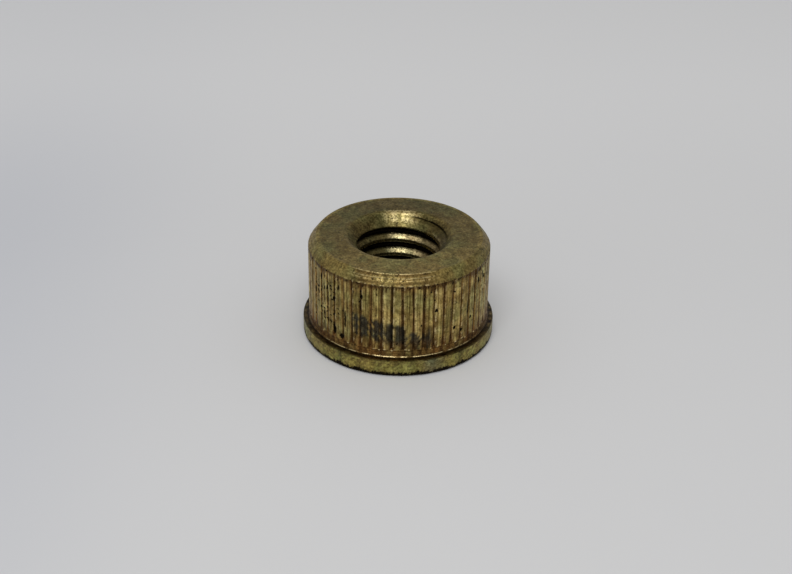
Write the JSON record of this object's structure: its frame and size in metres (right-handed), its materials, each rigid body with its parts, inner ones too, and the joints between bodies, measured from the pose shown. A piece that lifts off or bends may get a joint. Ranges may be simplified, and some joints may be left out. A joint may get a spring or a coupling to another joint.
{
  "type": "knurled round nut",
  "caption": "Round brass nut with a straight-knurled body, a thin round flange at one end, a chamfered top and a threaded, countersunk through hole.",
  "frame": {"origin": "centre of the flange's underside", "axes": "+Z along the threaded hole, from the flange towards the chamfered top"},
  "size_m": [0.019, 0.019, 0.0105],
  "materials": {
    "aged_brass": "tarnished, turned and knurled"
  },
  "bodies": {
    "root": {"knurled_nut": "aged_brass"}
  },
  "joints": []
}
